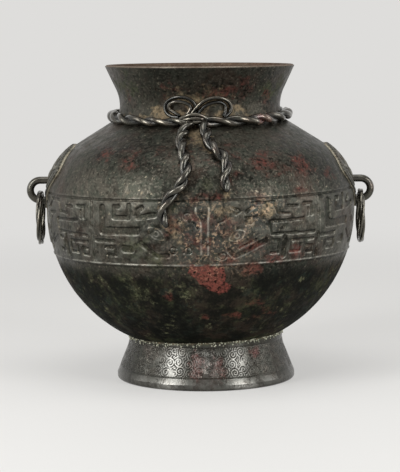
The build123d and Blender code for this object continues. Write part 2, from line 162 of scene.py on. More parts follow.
def bronzeFinish(name, look):
    material = bpy.data.materials.new(name)
    material.use_nodes = True
    nodes, links = material.node_tree.nodes, material.node_tree.links
    skin = nodes["Principled BSDF"]
    place = nodes.new("ShaderNodeTexCoord").outputs["Object"]

    def cloud(scale, detail, roughness):
        texture = nodes.new("ShaderNodeTexNoise")
        texture.inputs["Scale"].default_value = scale
        texture.inputs["Detail"].default_value = detail
        texture.inputs["Roughness"].default_value = roughness
        links.new(place, texture.inputs["Vector"])
        return texture.outputs["Fac"]

    def ramp(value, low, high, first=0.0, last=1.0):
        step = nodes.new("ShaderNodeMapRange")
        step.interpolation_type = "SMOOTHSTEP"
        for label, number in zip(("From Min", "From Max", "To Min", "To Max"), (low, high, first, last)):
            step.inputs[label].default_value = number
        links.new(value, step.inputs["Value"])
        return step.outputs["Result"]

    def combine(kind, first, second):
        step = nodes.new("ShaderNodeMath")
        step.operation = kind
        step.use_clamp = True
        for socket, value in zip(step.inputs, (first, second)):
            if isinstance(value, float):
                socket.default_value = value
            else:
                links.new(value, socket)
        return step.outputs[0]

    def layer(share, below, colour):
        step = nodes.new("ShaderNodeMix")
        step.data_type = "RGBA"
        links.new(share, step.inputs[0])
        for socket, value in zip((step.inputs[6], step.inputs[7]), (below, colour)):
            if isinstance(value, tuple):
                socket.default_value = tone(*value)
            else:
                links.new(value, socket)
        return step.outputs[2]

    def mark(label):  # a value that the mesh carries at each point
        reader = nodes.new("ShaderNodeAttribute")
        reader.attribute_name = label
        return reader.outputs["Fac"]

    def within(label, share):  # a share kept to the marked places
        return combine("MULTIPLY", mark(label), share)

    def cloudShare(scale, detail, roughness, low, high, most):
        return ramp(cloud(scale, detail, roughness), low, high, 0.0, most)

    def patches(share, texture, cover):  # broken patches that grow together as the share goes from 0 to 1
        blend = combine("ADD", combine("MULTIPLY", share, 0.45), texture)
        return combine("MULTIPLY", ramp(blend, 0.66, 0.92), ramp(speck, 0.36, 0.58, cover * 0.35, cover))

    # Bare bronze: dark and brown clouds, olive grain, flecks
    grain, tones = look["grain"], bronzeTones
    broad = cloud(look["mottle"], 7.0, 0.62)
    fine = cloud(grain, 5.0, 0.65)
    speck = cloud(grain * 3.4, 3.0, 0.6)
    pit = cloud(grain * 2.3, 4.0, 0.6)
    brownShare = ramp(broad, 0.38, 0.62, look["even"], 1 - look["even"])
    colour = layer(brownShare, tones["dark"], tones["brown"])
    colour = layer(ramp(fine, 0.44, 0.62, 0.0, look["olive"]), colour, tones["olive"])
    russetShare = cloudShare(look["mottle"] * 1.7, 8.0, 0.7, 0.50, 0.66, look["russet"])
    colour = layer(russetShare, colour, tones["russet"])
    colour = layer(ramp(speck, 0.50, 0.62, 0.0, look["fleck"]), colour, tones["fleck"])
    pointShare = cloudShare(grain * 3.0, 2.0, 0.5, 0.66, 0.73, look["points"])
    colour = layer(pointShare, colour, tones["point"])

    # Crusted places, and painted shade laid on in black
    roseShare = cloudShare(grain * 0.7, 6.0, 0.7, 0.50, 0.60, 0.75)
    tealShare = cloudShare(grain * 0.55, 6.0, 0.7, 0.53, 0.61, 0.75)
    colour = layer(within("crust", 0.6), colour, tones["slate"])
    colour = layer(within("crust", roseShare), colour, tones["rose"])
    colour = layer(within("crust", tealShare), colour, tones["teal"])
    # painted shade: black wherever the mesh marks shade
    colour = layer(within("deep", 0.95), colour, tones["black"])

    # Matt, mottled underside
    earthShare = cloudShare(grain * 0.4, 9.0, 0.8, 0.54, 0.70, 0.75)
    dabs = cloudShare(grain * 1.6, 5.0, 0.7, 0.50, 0.60, 1.0)
    dabShare = combine("MULTIPLY", dabs, ramp(earthShare, 0.0, 0.4, 0.06, 0.7))  # thickest on the earth
    colour = layer(within("matt", ramp(broad, 0.48, 0.62, 0.0, 0.4)), colour, tones["umber"])
    colour = layer(within("matt", earthShare), colour, tones["earth"])
    colour = layer(within("matt", combine("MULTIPLY", tealShare, 0.2)), colour, tones["teal"])
    colour = layer(within("matt", dabShare), colour, tones["dab"])
    greenShare = patches(combine("ADD", mark("green"), look["green"]), cloud(grain * 0.5, 8.0, 0.72), 0.65)
    colour = layer(greenShare, colour, tones["green"])
    blotShare = cloudShare(grain * 0.45, 8.0, 0.75, 0.55, 0.45, 0.7)
    colour = layer(within("matt", blotShare), colour, tones["black"])

    # Dust, red patches, pits, and rubbed metal with painted highlights over all
    dustShare = patches(mark("dust"), cloud(grain * 1.3, 6.0, 0.72), 0.75)
    colour = layer(dustShare, colour, tones["dust"])
    redShare = patches(combine("ADD", mark("red"), look["red"]), cloud(grain * 0.8, 8.0, 0.72), 0.9)
    redTone = layer(ramp(mark("red"), 0.75, 1.05), tones["darkRed"], tones["red"])
    colour = layer(redShare, colour, redTone)
    creamShare = combine("MULTIPLY", ramp(speck, 0.50, 0.60), ramp(fine, 0.42, 0.56))
    colour = layer(within("crust", creamShare), colour, tones["crust"])
    pitted = combine("MULTIPLY", combine("MAXIMUM", mark("crust"), mark("red")), 0.45)
    pitShare = combine("MULTIPLY", combine("ADD", pitted, look["pits"]), ramp(pit, 0.47, 0.37))
    colour = layer(pitShare, colour, tones["black"])
    # rubbed metal and painted highlights share one mark and one light colour
    rubbedAndLit = combine("ADD", mark("wearAndHighlight"), look["wearAndHighlight"])
    wearAndHighlightShare = combine("MULTIPLY", ramp(fine, 0.30, 0.58, 0.3, 1.0), rubbedAndLit)
    colour = layer(wearAndHighlightShare, colour, look["wornAndLit"])
    colour = layer(mark("copper"), colour, tones["copper"])
    links.new(colour, skin.inputs["Base Color"])

    rough = ramp(fine, 0.3, 0.7, look["rough"] - 0.09, look["rough"] + 0.13)
    matt = combine("MAXIMUM", combine("MAXIMUM", dustShare, greenShare), mark("matt"))
    rough = combine("ADD", rough, combine("MULTIPLY", matt, 0.35))
    links.new(combine("SUBTRACT", rough, combine("MULTIPLY", wearAndHighlightShare, 0.14)), skin.inputs["Roughness"])
    crusted = combine("MAXIMUM", matt, redShare)
    links.new(ramp(crusted, 0.0, 1.0, look["metal"], look["metal"] * 0.03), skin.inputs["Metallic"])
    skin.inputs["Specular IOR Level"].default_value = look["gloss"]
    skin.inputs["Coat Weight"].default_value = look["coat"]
    skin.inputs["Coat Roughness"].default_value = coatRough

    bump = nodes.new("ShaderNodeBump")
    bump.inputs["Strength"].default_value = look["pitting"]
    bump.inputs["Distance"].default_value = pitDepth
    surface = combine("ADD", combine("MULTIPLY", fine, 0.4), combine("MULTIPLY", pit, 0.6))
    links.new(surface, bump.inputs["Height"])
    links.new(bump.outputs["Normal"], skin.inputs["Normal"])
    return material


bodyBronze = bronzeFinish("bodyBronze", {
    "mottle": 17, "grain": 150, "even": 0.0, "russet": 0.35, "olive": 0.7, "fleck": 0.3,
    "pits": 0.5, "points": 0.5, "red": 0.0, "green": 0.04, "wearAndHighlight": 0.0, "wornAndLit": (160, 158, 148),
    "rough": 0.40, "metal": 0.8, "gloss": 0.05, "coat": 0.0, "pitting": 0.5})
footBronze = bronzeFinish("footBronze", {
    "mottle": 30, "grain": 190, "even": 0.35, "russet": 0.2, "olive": 0.4, "fleck": 0.1,
    "pits": 0.2, "points": 0.15, "red": 0.0, "green": 0.03, "wearAndHighlight": 0.0, "wornAndLit": (176, 175, 170),
    "rough": 0.3, "metal": 0.8, "gloss": 0.12, "coat": 0.2, "pitting": 0.3})
ropeBronze = bronzeFinish("ropeBronze", {
    "mottle": 60, "grain": 260, "even": 0.0, "russet": 0.4, "olive": 0.5, "fleck": 0.2,
    "pits": 0.3, "points": 0.2, "red": 0.02, "green": 0.03, "wearAndHighlight": 0.0, "wornAndLit": (160, 148, 128),
    "rough": 0.17, "metal": 0.9, "gloss": 0.25, "coat": 0.5, "pitting": 0.15})
ringBronze = bronzeFinish("ringBronze", {
    "mottle": 60, "grain": 260, "even": 0.1, "russet": 0.4, "olive": 0.4, "fleck": 0.15,
    "pits": 0.3, "points": 0.1, "red": 0.0, "green": 0.02, "wearAndHighlight": 0.08, "wornAndLit": (152, 146, 130),
    "rough": 0.22, "metal": 0.9, "gloss": 0.25, "coat": 0.4, "pitting": 0.15})
maskBronze = bronzeFinish("maskBronze", {
    "mottle": 30, "grain": 190, "even": 0.3, "russet": 0.3, "olive": 0.5, "fleck": 0.2,
    "pits": 0.3, "points": 0.2, "red": 0.0, "green": 0.0, "wearAndHighlight": 0.04, "wornAndLit": (166, 162, 146),
    "rough": 0.44, "metal": 0.5, "gloss": 0.12, "coat": 0.0, "pitting": 0.5})


seamTones = {"cream": (190, 188, 170), "green": (78, 84, 62), "grain": 700, "rough": 0.85}
crustFinish = bpy.data.materials.new("seamCrust")
crustFinish.use_nodes = True
crustNodes, crustLinks = crustFinish.node_tree.nodes, crustFinish.node_tree.links
crustCloud = crustNodes.new("ShaderNodeTexNoise")
crustCloud.inputs["Scale"].default_value = seamTones["grain"]
crustPlace = crustNodes.new("ShaderNodeTexCoord")
crustLinks.new(crustPlace.outputs["Object"], crustCloud.inputs["Vector"])
crustMix = crustNodes.new("ShaderNodeMix")
crustMix.data_type = "RGBA"
crustMix.inputs[6].default_value = tone(*seamTones["green"])
crustMix.inputs[7].default_value = tone(*seamTones["cream"])
crustLinks.new(crustCloud.outputs["Fac"], crustMix.inputs[0])
crustLinks.new(crustMix.outputs[2], crustNodes["Principled BSDF"].inputs["Base Color"])
crustNodes["Principled BSDF"].inputs["Roughness"].default_value = seamTones["rough"]
print("bronze finishes ready")


# Form of the vessel's skin, millimetres from the table and the vessel's axis

skinForm = {
    "beltLow": 130.0, "beltTop": 137.4,  # upright stretch at the widest place
    "lowerCurve": 107.0, "shoulderCurve": 51.0, "shoulderSlope": math.radians(32),
    "mouthRadius": 60.0, "wall": 3.5,
    "throatRadius": 61.0, "throatRise": 10.2, "rootFlare": 3.0,
    "flareCurve": 30.0, "flareAngle": math.radians(25.5),
    "lipRadius": 71.6, "lipEdge": 1.8, "lipWall": 3.2, "neckWall": 3.6, "spigotRadius": 59.9,
}
bellyRadius = 117.0
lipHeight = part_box("neck")[1].z / mm
lowerCentre = bellyRadius - skinForm["lowerCurve"]
shoulderCentre = bellyRadius - skinForm["shoulderCurve"]
slopeStart = (shoulderCentre + skinForm["shoulderCurve"] * math.sin(skinForm["shoulderSlope"]),
              skinForm["beltTop"] + skinForm["shoulderCurve"] * math.cos(skinForm["shoulderSlope"]))
rootRadius = skinForm["throatRadius"] + skinForm["rootFlare"]
rootHeight = slopeStart[1] + (slopeStart[0] - rootRadius) * math.tan(skinForm["shoulderSlope"])
throatHeight = rootHeight + skinForm["throatRise"]
rootCurve = (skinForm["rootFlare"] ** 2 + skinForm["throatRise"] ** 2) / (2 * skinForm["rootFlare"])
flareEnd = (skinForm["throatRadius"] + skinForm["flareCurve"] * (1 - math.cos(skinForm["flareAngle"])),
            throatHeight + skinForm["flareCurve"] * math.sin(skinForm["flareAngle"]))


def skinRadius(height, grow=0.0):  # outside of the vessel at a height; grow thickens belly and shoulder
    height = np.asarray(height, float)
    low = lowerCentre + np.sqrt(np.maximum(
        (skinForm["lowerCurve"] + grow) ** 2 - (skinForm["beltLow"] - height) ** 2, 0))
    bend = shoulderCentre + np.sqrt(np.maximum(
        (skinForm["shoulderCurve"] + grow) ** 2 - (height - skinForm["beltTop"]) ** 2, 0))
    slope = slopeStart[0] - (height - slopeStart[1]) / math.tan(skinForm["shoulderSlope"])
    root = skinForm["throatRadius"] + rootCurve - np.sqrt(np.maximum(
        rootCurve ** 2 - (throatHeight - height) ** 2, 0))
    flare = skinForm["throatRadius"] + skinForm["flareCurve"] - np.sqrt(np.maximum(
        skinForm["flareCurve"] ** 2 - (height - throatHeight) ** 2, 0))
    steep = (skinForm["lipRadius"] - flareEnd[0]) / (lipHeight - skinForm["lipEdge"] - flareEnd[1])
    cone = flareEnd[0] + (height - flareEnd[1]) * steep
    stages = [height < skinForm["beltLow"], height < skinForm["beltTop"], height < slopeStart[1],
              height < rootHeight, height < throatHeight, height < flareEnd[1]]
    return np.select(stages, [low, bellyRadius + grow + 0 * height, bend, slope, root, flare], cone)


downHeights = np.linspace(rootHeight, 60, 3000)
downRun = np.concatenate([[0], np.cumsum(np.hypot(np.diff(skinRadius(downHeights)), np.diff(downHeights)))])


def onSkin(across, along, lift):  # point over the front, along the skin up or down from the neck's root
    height = rootHeight + along if along > 0 else float(np.interp(-along, downRun, downHeights))
    reach = float(skinRadius(height))
    lean = float(skinRadius(height + 0.5) - skinRadius(height - 0.5))
    out = lift / math.sqrt(1 + lean * lean)
    turn = across / reach
    reach += out
    return (reach * math.sin(turn), -reach * math.cos(turn), height - lean * out)


def lathe(radii, heights, angles, centre=0.0):  # rows x columns of points round an upright axis
    return np.stack([centre + radii * np.sin(angles), -radii * np.cos(angles),
                     np.broadcast_to(heights, np.broadcast(radii, angles).shape)], -1)


def stainField(turn, height, spots, around=None):  # spots: angle, height, half width, half height, strength
    field = np.zeros(turn.shape)
    for angle, level, wide, tall, strength in spots:
        away = (np.degrees(turn) - angle + 180) % 360 - 180
        reach = np.radians(away) * (around or skinRadius(level))
        field = np.maximum(field, strength * np.exp(-(reach / wide) ** 2 - ((height - level) / tall) ** 2))
    return field


# Cast rope: routes across the front and along the skin from the neck's root, millimetres

ropeRoutes = {
    "left_bow_loop": [(-8, 3.4), (-4.6, 8.4), (-5, 13.4), (-9.6, 17), (-17.4, 17.8),
                      (-23, 15.2), (-24.6, 10.2), (-21.6, 6), (-14, 3.6)],
    "right_bow_loop": [(-5, 4), (-1.2, 9.6), (3.4, 14.6), (10.2, 17.2),
                       (17, 16.5), (20.8, 12.6), (20.8, 7.6), (17, 3)],
    "left_cord_tail": [(-5.5, -1.5), (-12, -16.6), (-13.6, -30.6), (-11, -42.7), (-9.6, -53.3),
                       (-10.6, -62), (-15.4, -69.6), (-22.2, -75.8), (-26.6, -83), (-26.4, -90),
                       (-22.6, -95.6)],
    "right_cord_tail": [(1, -1.5), (4, -14.7), (5.4, -27.6), (10, -37.9), (16.4, -44.8), (18.8, -52.6),
                        (17, -60.2), (16.8, -66.8), (19, -72)],
}
ropeForm = {
    "collar": {"strand": 2.45, "offset": 1.8, "lay": 36.0, "phase": 0.4},
    "loop": {"strand": 1.35, "offset": 1.95, "lay": 400.0, "phase": math.pi / 2, "lift": 0.5},
    "tail": {"strand": 2.6, "offset": 2.0, "lay": 26.0, "phase": 0.6, "lift": 1.0, "taper": 0.2},
    "knot": {"strand": 1.4, "offset": 0.0, "lay": 60.0},
    "ring": {"strand": 1.25, "offset": 1.05, "turns": 2},
}
ropeStep = 0.5


def smoothRoute(points):  # points along the route's own smooth curve
    curve = bpy.data.curves.new("ropeRoute", "CURVE")
    curve.dimensions = "3D"
    curve.resolution_u = 12
    line = curve.splines.new("NURBS")
    line.points.add(len(points) - 1)
    for place, point in zip(line.points, points):
        place.co = (*point, 1)
    line.order_u = 3
    line.use_endpoint_u = True
    holder = bpy.data.objects.new("ropeRoute", curve)
    mesh = bpy.data.meshes.new_from_object(holder)
    path = np.array([corner.co for corner in mesh.vertices], float)
    bpy.data.objects.remove(holder)
    bpy.data.curves.remove(curve)
    bpy.data.meshes.remove(mesh)
    return path


def resample(path, spacing):  # even steps along a line
    pace = np.concatenate([[0], np.cumsum(np.linalg.norm(np.diff(path, axis=0), axis=1))])
    steps = np.linspace(0, pace[-1], max(8, int(pace[-1] / spacing)))
    return np.stack([np.interp(steps, pace, path[:, axis]) for axis in range(3)], -1)


def strands(path, form, closed=False, count=2, sides=16):
    # Twisted strands round a path, and how far each point stands out from it
    ahead = np.roll(path, -1, 0) - np.roll(path, 1, 0) if closed else np.gradient(path, axis=0)
    ahead /= np.linalg.norm(ahead, axis=1)[:, None]
    outward = form.get("outward", path * (1, 1, 0))  # away from the vessel's axis, or the ring's middle
    outward = outward - ahead * np.sum(outward * ahead, 1)[:, None]
    outward /= np.linalg.norm(outward, axis=1)[:, None]
    side = np.cross(ahead, outward)
    pace = np.linalg.norm(np.diff(path, axis=0, append=path[:1] if closed else path[-1:]), axis=1)
    run = np.concatenate([[0], np.cumsum(pace)[:-1]])
    length = run[-1] + (pace[-1] if closed else 0)
    turns = form["turns"] / length if "turns" in form else 1 / form["lay"]
    wander = 0 * run if closed else 0.3 * np.sin(run / 9.0) + 0.2 * np.sin(run / 4.1 + 1)
    shrink = 1 - form.get("taper", 0.0) * rise(run, length * 0.45, length)
    shrink = shrink * form.get("thin", 1.0)
    ends = np.ones(len(path)) if closed else np.sqrt(np.clip(1 - (1 - np.minimum(
        run, length - run).clip(0, form["strand"]) / form["strand"]) ** 2, 0.0004, 1))
    gather = np.ones(len(path)) if closed else 0.3 + 0.7 * rise(length - run, 0, 7)  # closes up the end
    grids, crests = [], []
    around = np.linspace(0, 2 * math.pi, sides, endpoint=False)
    for number in range(count):
        twist = 2 * math.pi * (run * turns + number / count) + form.get("phase", 0.0) + wander
        middle = path + (form["offset"] * shrink * gather)[:, None] * (
            np.cos(twist)[:, None] * outward + np.sin(twist)[:, None] * side)
        heading = np.roll(middle, -1, 0) - np.roll(middle, 1, 0) if closed else np.gradient(middle, axis=0)
        heading /= np.linalg.norm(heading, axis=1)[:, None]
        first = outward - heading * np.sum(outward * heading, 1)[:, None]
        first /= np.linalg.norm(first, axis=1)[:, None]
        second = np.cross(heading, first)
        thick = (form["strand"] * shrink * ends)[:, None, None]
        ringWays = np.cos(around)[:, None] * first[:, None] + np.sin(around)[:, None] * second[:, None]
        tube = middle[:, None] + thick * ringWays
        grids.append((tube, closed, True))
        widest = ((form["offset"] + form["strand"]) * shrink)[:, None]
        spread = np.linalg.norm(tube - path[:, None], axis=-1) / widest
        crests.append(spread if count > 1 else 0.65 + 0.35 * np.cos(around)[None] + 0 * spread)
    return grids, crests


# Bright crests are rubbed metal; crevice is painted shade between the strands
ropeWearAndShade = {"collar": 0.24, "loop": 0.3, "tail": 0.1, "knot": 0.2, "ring": 0.3,  # bright crests
            "crevice": 0.95, "dust": 0.22, "collarRed": [(41, 9, 0.8), (-48, 6, 0.3)]}


def ropeNotes(grids, crests, bright, redPlaces=()):
    notes = {"wearAndHighlight": [], "deep": [], "dust": [], "red": []}
    for (points, rowsClosed, columnsClosed), crest in zip(grids, crests):
        patch = rise(grainField(points, 9, 21), -0.3, 0.5)
        degrees = np.degrees(np.arctan2(points[..., 0], -points[..., 1]))
        notes["wearAndHighlight"].append(rise(crest, 0.80, 1.0) * bright * (0.4 + 0.6 * patch))
        # painted shade between the strands
        notes["deep"].append(rise(0.80 - crest, 0, 0.26) * ropeWearAndShade["crevice"])
        notes["dust"].append(rise(0.84 - crest, 0, 0.2) * ropeWearAndShade["dust"] * (1 - patch))
        notes["red"].append(sum((strength * np.exp(-((degrees - middle) / wide) ** 2)
                                 for middle, wide, strength in redPlaces), 0 * degrees))
    return notes


ropePaths = {}
for label, route in ropeRoutes.items():
    form = ropeForm["loop" if "loop" in label else "tail"]
    lift = form["strand"] + form["lift"]
    route = [onSkin(across, along, lift) for across, along in route]
    ropePaths[label] = resample(smoothRoute(route), ropeStep)
for label in ("left_bow_loop", "right_bow_loop"):
    grids, crests = strands(ropePaths[label], ropeForm["loop"])
    makePiece(label + "_strands", grids, "vessel", [label], ropeBronze,
              ropeNotes(grids, crests, ropeWearAndShade["loop"]))
for label in ("left_cord_tail", "right_cord_tail"):
    grids, crests = strands(ropePaths[label], ropeForm["tail"])
    makePiece(label + "_strands", grids, "vessel", [label], ropeBronze,
              ropeNotes(grids, crests, ropeWearAndShade["tail"]))

collarForm = {"reach": 66.7, "height": 202.0, "sideTilt": 0.6, "sag": 2.5, "sagReach": 3.6,
              "middle": -1.5, "gap": 4.5, "thinAt": 338, "thinReach": 20, "thinShare": 0.22}
collarTurns = np.linspace(collarForm["gap"], 2 * math.pi * collarForm["reach"] - collarForm["gap"], 900)
collarTurns = (collarTurns + collarForm["middle"]) / collarForm["reach"]
collarSag = np.clip(np.cos(collarTurns), 0, 1) ** 1.5
collarHeights = (collarForm["height"] + collarForm["sideTilt"] * np.sin(collarTurns)
                 - collarForm["sag"] * collarSag)
collarReach = collarForm["reach"] + collarForm["sagReach"] * collarSag
ropePaths["collar"] = lathe(collarReach, collarHeights, collarTurns)
thinAway = (np.degrees(collarTurns) - collarForm["thinAt"]) / collarForm["thinReach"]
thin = 1 - collarForm["thinShare"] * np.exp(-thinAway ** 2)
grids, crests = strands(ropePaths["collar"], dict(ropeForm["collar"], thin=thin))
makePiece("neck_cord_strands", grids, "vessel", ["neck_cord"], ropeBronze,
          ropeNotes(grids, crests, ropeWearAndShade["collar"], ropeWearAndShade["collarRed"]))

knotForm = {"foot": 63.0, "endLift": 6.6, "middleLift": 9.8, "runs": [  # across, above the neck's root
    [(-15, 2.6), (-10.4, 5.2), (-4.8, 6.6), (1.2, 5.8), (6.8, 2.6)],
    [(-15, 1.8), (-10, 2.8), (-4.5, 3.6), (1.5, 3.2), (6.8, 1.6)],
    [(-14.5, 0.8), (-9.5, 0.6), (-4, 0.8), (1.5, 0.7), (6.2, 0.4)]]}
grids, crests = [], []
for run in knotForm["runs"]:
    knotPath = []
    for step, (across, up) in enumerate(run):
        reach = knotForm["foot"] + knotForm["endLift"] + (
            knotForm["middleLift"] - knotForm["endLift"]) * math.sin(math.pi * step / (len(run) - 1))
        turn = across / (knotForm["foot"] + knotForm["endLift"])
        knotPath.append((reach * math.sin(turn), -reach * math.cos(turn), rootHeight + up))
    runGrids, runCrests = strands(resample(smoothRoute(knotPath), ropeStep), ropeForm["knot"], count=1)
    grids += runGrids
    crests += runCrests
makePiece("bow_knot_wrap", grids, "vessel", ["bow_knot"], ropeBronze,
          ropeNotes(grids, crests, ropeWearAndShade["knot"]))
print("rope, bow and tails twisted")


# Belly and shoulder: dense skin with the sunk band

bandForm = {
    "middle": 123.4, "half": 23.7, "lean": 1.43, "panelCentre": 2.3,  # it runs up a little to the right
    "depth": 0.9, "edge": 0.5, "line": 1.4, "lineHeight": 0.7, "eyeHeight": 0.45, "columns": 1400,
    "noseHeight": 0.9, "noseLeft": 1.9, "noseHalf": 2.5, "noseReach": 18.5,
    "noseLean": 1.6, "noseWiden": 2.2,  # towards its upper end
}
bandChannels = [  # across from the panel's middle, above the band's middle, half width
    ([(-81, 17), (-81, 0.6), (-52, 1)], 2.9),
    ([(-66.5, 18.4), (-70.4, 18.4), (-70.4, 10.6), (-58, 10.6), (-58, 20)], 1.6),
    ([(-47.5, 18), (-50.6, 16), (-50.6, 11.2), (-38, 12.8)], 1.8),
    ([(-88, -6.8), (-71, -6.8)], 1.3),
    ([(-79, -11.6), (-71, -11.6), (-71, -17)], 1.4),
    ([(-62.6, -12.2), (-57.6, -12.2)], 2.8),
    ([(-49, -7.6), (-37, -16.6), (-29, -16.6)], 1.7),
    ([(76, 6.8), (46.4, 6.2), (48.4, -2.6), (87, -3.8)], 1.1),
    ([(59.4, -6), (59.4, -19)], 2.3),
    ([(33, 20), (49.4, 20), (53, 12), (62.6, 11.2)], 1.1),
    ([(28, 9.4), (42, 10.4)], 1.2),
    ([(49.6, -7.4), (54.4, -7.4), (54.4, -16.6), (48.6, -16.6)], 1.2),
    ([(86.6, -8.6), (65.4, -8.6), (65.4, -16.8), (74, -16.8), (74, -12.6)], 1.2),
    ([(16, -13.6), (20.4, -17.6), (26, -15.6), (43, -7.6)], 1.9),
]
bandGrooves = [  # finer lines between the channels
    ([(18, 17.5), (21.5, 16.3), (24, 14.5), (21, 12.5)], 0.8),
    ([(28.5, 14), (33.5, 17.5)], 1.5),
    ([(76, 17.4), (84.2, 17.2), (84.2, 9)], 1.2),
    ([(62, 16.8), (70.4, 16.3)], 1.0),
    ([(80.3, 14), (80.3, 8.5)], 0.8),
    ([(80, -13), (86.5, -13.6), (86, -18.5), (80.5, -18.2)], 1.0),
    ([(24, -11.5), (36, -6)], 0.9),
    ([(-79, -17), (-71, -17)], 1.2),
    ([(6, 3), (8, 7), (12, 8.5)], 0.7),
    ([(-7, 3), (-9, 7), (-13, 8)], 0.7),
    ([(90.9, -21.5), (90.9, 21.5)], 0.45),
    ([(-90.9, -21.5), (-90.9, 21.5)], 0.45),
]
bandCurls = [  # across, up, reach, start and sense of small spiral lines
    (-25, -13.4, 3.4, 40, 1), (-13.6, -13.4, 3.6, 200, -1), (11.6, -17, 3.8, 160, 1),
    (31, 7.2, 3.8, 220, -1), (-14.4, 11.4, 4.2, 300, 1)]
for x, y, reach, start, sense in bandCurls:
    curl = []
    for step in range(8):  # an eighth of a turn each, closing in
        inward, angle = reach * (1 - step / 14), math.radians(start + sense * step * 45)
        curl.append((x + inward * math.cos(angle), y + inward * math.sin(angle)))
    bandGrooves.append((curl, 0.5))
bandEyes = [  # across, up, tilt, half length, half height
    (-36.7, -0.8, -34, 7.6, 3.6), (21.5, -3.0, 25, 6.5, 3.8)]


def bandRelief(turn, height, rough):  # height of the relief, where it is sunk, where wear and painted highlights go, and where painted shade goes
    up = height - bandForm["middle"] - bandForm["lean"] * np.sin(turn)
    across = np.radians((np.degrees(turn) - bandForm["panelCentre"] + 45) % 90 - 45) * bellyRadius

    def channelGap(level):
        gap = np.full(level.shape, 1e6)
        for route, half in bandChannels + bandGrooves:
            gap = np.minimum(gap, barDistance(across, level, route, half * 0.15) - half * 0.85)
        return gap + 0.22 * rough

    gap = channelGap(up)
    facing = np.clip((gap - channelGap(up + 0.6)) / 0.6, -1, 1)  # 1 just below a channel, -1 just above it
    sunk = rise(-gap, -bandForm["edge"], bandForm["edge"])
    crest = np.exp(-((gap - 0.3) / 0.38) ** 2)
    brow = rise(up, 6, 16)
    noseSide = np.abs(across + bandForm["noseLeft"] + bandForm["noseLean"] * brow)
    noseSide = noseSide - bandForm["noseHalf"] - bandForm["noseWiden"] * brow
    noseEnds = rise(bandForm["noseReach"] - np.abs(up - 0.5), 0, 2)
    raised = bandForm["noseHeight"] * rise(-noseSide, -0.4, 0.4) * noseEnds
    # painted highlight: thin light lines on lower channel edges that face up to the lamps, with a little
    # wear on every crest
    wornAndLit = crest * (0.36 * np.clip(facing, 0, 1) + 0.1)
    noseLine = np.exp(-(noseSide / 0.65) ** 2) * noseEnds
    for x, y, tilt, long, tall in bandEyes:
        cosine, sine = math.cos(math.radians(tilt)), math.sin(math.radians(tilt))
        along = (across - x) * cosine + (up - y) * sine
        aside = (up - y) * cosine - (across - x) * sine
        lid = np.abs(aside) - tall * (1 - np.clip(along / long, -1, 1) ** 2)
        line = np.exp(-(lid / 0.5) ** 2) * (np.abs(along) < long)
        line = np.maximum(line, 0.8 * np.exp(-((np.hypot(along, aside) - 1.7) / 0.4) ** 2))
        raised = np.maximum(raised, bandForm["eyeHeight"] * line)
        noseLine = np.maximum(noseLine, 0.7 * line)
    step = rise(up, bandForm["half"] - bandForm["line"] - 0.3, bandForm["half"] - bandForm["line"] + 0.1)
    step *= rise(bandForm["half"] - up, -0.2, 0.2)
    fillet = np.exp(-((up + bandForm["half"]) / 0.5) ** 4)
    sunk = np.maximum(sunk, step)
    raised = np.maximum(raised, bandForm["lineHeight"] * fillet)
    # the raised lower fillet and the band's upper edge made light: wear with painted highlight
    upperEdge = np.exp(-((up - bandForm["half"] - 0.5) / 0.5) ** 2)
    wornAndLit = np.maximum(wornAndLit, np.maximum(0.42 * fillet, 0.16 * upperEdge))
    # painted shade: dark upper walls of the channels, the band's top step, and a painted shadow under the
    # lower fillet
    dark = sunk * 0.06 + 0.8 * np.exp(-((gap + 0.2) / 0.55) ** 2) * np.clip(-facing, 0, 1) + 0.15 * step
    dark = np.maximum(dark, 0.5 * np.exp(-((up + bandForm["half"] + 1.5) / 0.8) ** 2))
    return raised - bandForm["depth"] * sunk, sunk, wornAndLit, dark, noseLine


redPatch = [(-8, 100.7), (7, 100.1), (17.2, 98.6), (17.9, 87.1), (23.4, 84.9),  # across the front, height
            (19.3, 77.7), (12.5, 77.9), (1.6, 82.8), (-3.2, 88.6), (-9.3, 94.3)]
redSpots = [(19, 96, 10, 6, 0.85), (28, 103, 12, 5, 0.85), (37, 106, 9, 7, 0.95), (-13, 75, 6, 4, 0.75),
            (2, 59, 5, 3, 0.75), (15, 60, 9, 4, 0.75), (10, 104, 12, 6, 0.85), (18, 112, 14, 7, 0.75),
            (0, 118, 14, 14, 0.7), (10, 128, 16, 10, 0.7), (-10, 128, 9, 10, 0.75), (4, 148, 20, 5, 0.75),
            (26, 170, 18, 11, 0.72), (44, 168, 18, 12, 0.72), (38, 151, 10, 4, 0.7), (22, 72, 16, 9, 0.45),
            (30, 60, 14, 10, 0.5), (0, 178, 160, 12, 0.42), (12, 160, 8, 10, 0.6), (-30, 172, 16, 7, 0.68),
            (-44, 176, 14, 8, 0.68), (58, 160, 12, 9, 0.6), (150, 120, 20, 16, 0.7),
            (-150, 150, 22, 12, 0.6), (110, 90, 18, 12, 0.6), (-100, 80, 14, 12, 0.6)]
dustSpots = [(0, 190, 8, 8, 1.0), (8, 140, 16, 9, 0.6), (24, 138, 9, 7, 1.0), (18, 131, 6, 5, 0.7),
             (-8, 124, 10, 14, 0.55), (-24, 150, 14, 8, 0.3), (12, 118, 12, 10, 0.5),
             (170, 150, 24, 12, 0.5)]
greenSpots = [(-30, 76, 60, 26, 0.58), (24, 68, 50, 26, 0.55), (-24, 112, 16, 12, 0.7), (3, 160, 6, 8, 0.6),
              (-16, 104, 14, 8, 0.7), (0, 36, 200, 5, 0.6), (150, 80, 90, 40, 0.55),
              (-140, 90, 70, 40, 0.55), (-60, 60, 30, 16, 0.58), (60, 76, 30, 16, 0.58),
              (8, 104, 10, 6, 0.6), (-10, 140, 10, 8, 0.6)]
crustSpots = [(3, 122, 26, 22, 1.0), (22, 138, 16, 9, 0.9), (8, 100, 16, 10, 0.6)]

